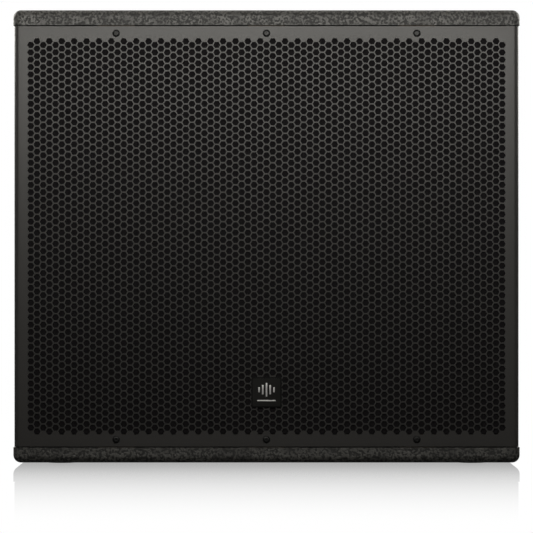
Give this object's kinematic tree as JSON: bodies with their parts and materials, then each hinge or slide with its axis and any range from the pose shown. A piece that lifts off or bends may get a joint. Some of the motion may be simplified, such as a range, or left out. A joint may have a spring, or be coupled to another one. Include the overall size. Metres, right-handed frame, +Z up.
{
  "type": "powered subwoofer cabinet",
  "caption": "Bass-reflex plywood subwoofer with a perforated steel front grille, a large cone driver, a rear amplifier module, side grips and a top pole socket.",
  "frame": {"origin": "centre of the cabinet's footprint, on the plane under its feet", "axes": "+X to the right seen from the front, +Y from the grille to the rear panel, +Z up"},
  "size_m": [0.6, 0.62, 0.538],
  "materials": {
    "cabinet_paint": "coarse textured water-based paint over birch plywood",
    "bare_ply": "plywood, thin black stain",
    "grille_steel": "satin powder coat, graded by the light",
    "foam": "open-cell foam",
    "black_screw": "glossy black",
    "badge_black": "polished",
    "badge_grey": "satin",
    "cast_frame": "black powder coat on a casting",
    "gasket": "matt",
    "ferrite": "ground",
    "pole_steel": "black zinc",
    "cone_paper": "pulp with a coating",
    "roll_cloth": "treated cloth",
    "spider_cloth": "resin-dipped cloth",
    "former": "glass fibre",
    "copper": "lacquered copper wire",
    "amp_plate": "fine-textured powder coat",
    "heatsink": "black anodised",
    "zinc_steel": "zinc plated",
    "board": "green solder mask",
    "components": "potted and sleeved",
    "display": "clear window over a dark display",
    "knob": "moulded",
    "button": "moulded silicone",
    "led": "diffused lamp",
    "socket_black": "moulded",
    "rocker": "moulded",
    "handle_plastic": "moulded with a fine grain",
    "grip_rubber": "soft moulded sleeve",
    "socket_steel": "black plated steel",
    "foot_rubber": "moulded",
    "lead": "silicone insulation",
    "mat": "polyester wadding"
  },
  "bodies": {
    "cabinet": {"top_panel": "cabinet_paint", "bottom_panel": "cabinet_paint", "left_side_panel": "cabinet_paint", "right_side_panel": "cabinet_paint", "rear_panel": "cabinet_paint", "front_baffle": "cabinet_paint", "port_panels": "bare_ply", "window_brace": "bare_ply", "grille_blocks": "bare_ply", "grille": "grille_steel", "grille_foam": "foam", "grille_screws": "black_screw", "badge_plate": "badge_black", "badge_emblem": "badge_grey", "driver_basket": "cast_frame", "driver_gasket": "gasket", "driver_screws": "black_screw", "driver_terminals": "socket_black", "surround": "roll_cloth", "spider": "spider_cloth", "top_plate": "pole_steel", "magnet": "ferrite", "back_plate": "pole_steel", "amp_panel": "amp_plate", "amp_gasket": "gasket", "amp_screws": "black_screw", "heatsink": "heatsink", "amp_chassis": "zinc_steel", "circuit_board": "board", "board_components": "components", "control_board": "board", "status_leds": "led", "display_window": "display", "input_sockets": "socket_black", "link_sockets": "socket_black", "network_socket": "socket_black", "mains_inlet": "socket_black", "connector_screws": "black_screw", "mains_switch_frame": "socket_black", "left_handle_cup": "handle_plastic", "right_handle_cup": "handle_plastic", "left_handle_grip": "grip_rubber", "right_handle_grip": "grip_rubber", "pole_socket": "socket_steel", "rubber_feet": "foot_rubber", "countersunk_screws": "black_screw", "speaker_leads": "lead", "damping_mats": "mat"},
    "cone_assembly": {"cone": "cone_paper", "dust_cap": "cone_paper", "voice_coil_former": "former", "voice_coil": "copper"},
    "encoder_push_body": {"encoder_stem": "zinc_steel"},
    "encoder_knob_body": {"encoder_knob": "knob"},
    "menu_button_1": {"menu_button_1": "button"},
    "menu_button_2": {"menu_button_2": "button"},
    "menu_button_3": {"menu_button_3": "button"},
    "input_latch_1": {"input_latch_1": "knob"},
    "input_latch_2": {"input_latch_2": "knob"},
    "mains_rocker": {"mains_rocker": "rocker"}
  },
  "joints": [
    {"name": "cone_travel", "type": "slide", "parent": "cabinet", "child": "cone_assembly", "axis": [0, -1, 0], "range_m": [-0.008, 0.008], "stiffness_N_per_m": 10000, "deforming": ["surround", "spider"]},
    {"name": "encoder_push", "type": "slide", "parent": "cabinet", "child": "encoder_push_body", "axis": [0, -1, 0], "range_m": [0, 0.001], "stiffness_N_per_m": 400},
    {"name": "encoder_turn", "type": "hinge", "parent": "encoder_push_body", "child": "encoder_knob_body", "pos_m": [-0.034, 0.288, 0.394], "axis": [0, 1, 0], "continuous": true},
    {"name": "menu_button_1_press", "type": "slide", "parent": "cabinet", "child": "menu_button_1", "axis": [0, -1, 0], "range_m": [0, 0.0008], "stiffness_N_per_m": 200},
    {"name": "menu_button_2_press", "type": "slide", "parent": "cabinet", "child": "menu_button_2", "axis": [0, -1, 0], "range_m": [0, 0.0008], "stiffness_N_per_m": 200},
    {"name": "menu_button_3_press", "type": "slide", "parent": "cabinet", "child": "menu_button_3", "axis": [0, -1, 0], "range_m": [0, 0.0008], "stiffness_N_per_m": 200},
    {"name": "input_latch_1_press", "type": "slide", "parent": "cabinet", "child": "input_latch_1", "axis": [0, -1, 0], "range_m": [0, 0.0012], "stiffness_N_per_m": 200},
    {"name": "input_latch_2_press", "type": "slide", "parent": "cabinet", "child": "input_latch_2", "axis": [0, -1, 0], "range_m": [0, 0.0012], "stiffness_N_per_m": 200},
    {"name": "mains_switch", "type": "hinge", "parent": "cabinet", "child": "mains_rocker", "pos_m": [-0.07, 0.28, 0.198], "axis": [1, 0, 0], "range_deg": [0, 20]}
  ]
}
